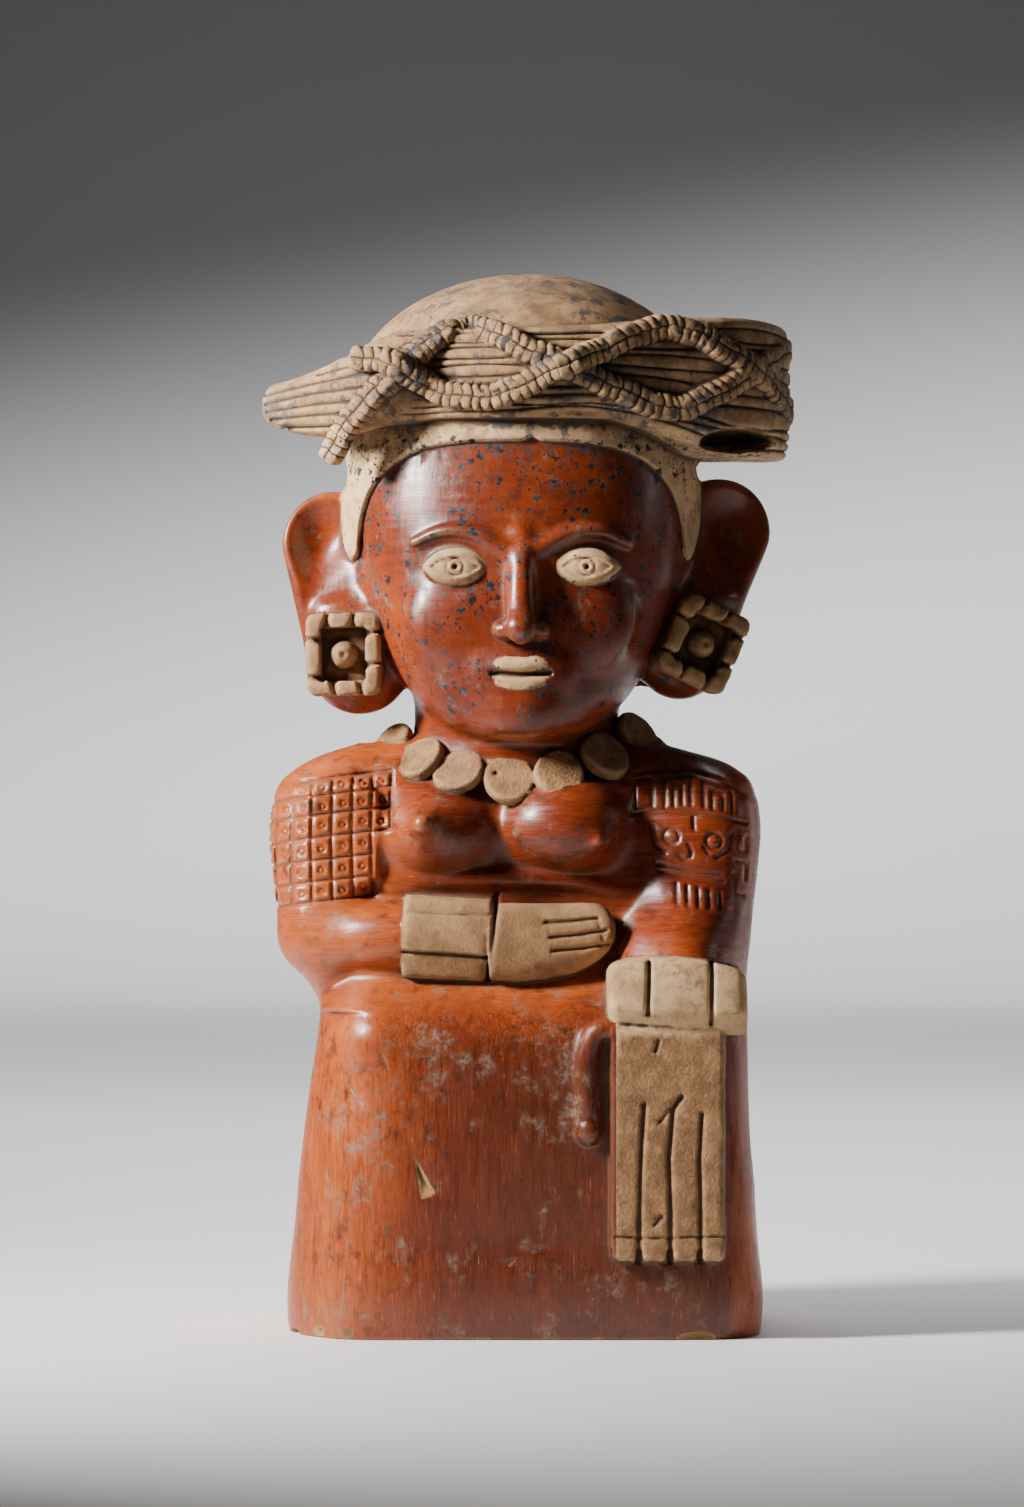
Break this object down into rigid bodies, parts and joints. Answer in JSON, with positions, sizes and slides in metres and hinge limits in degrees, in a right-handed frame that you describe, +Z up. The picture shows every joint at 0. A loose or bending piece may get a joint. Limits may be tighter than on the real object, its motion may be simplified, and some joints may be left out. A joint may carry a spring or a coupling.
{
  "type": "seated female figure",
  "caption": "Hollow fired-clay figure of a seated woman in a banded headdress, with large ears, a disc collar and one arm across her waist; stands on its flat base.",
  "frame": {"origin": "middle of the flat underside", "axes": "+Z up along the figure, -Y the way it faces, +X towards its own left hand, the viewer's right"},
  "size_m": [0.2508, 0.1748, 0.5],
  "materials": {
    "slipped_clay": "burnished red slip with bare buff clay details and black mineral specks"
  },
  "bodies": {
    "root": {"figure": "slipped_clay"}
  },
  "joints": []
}
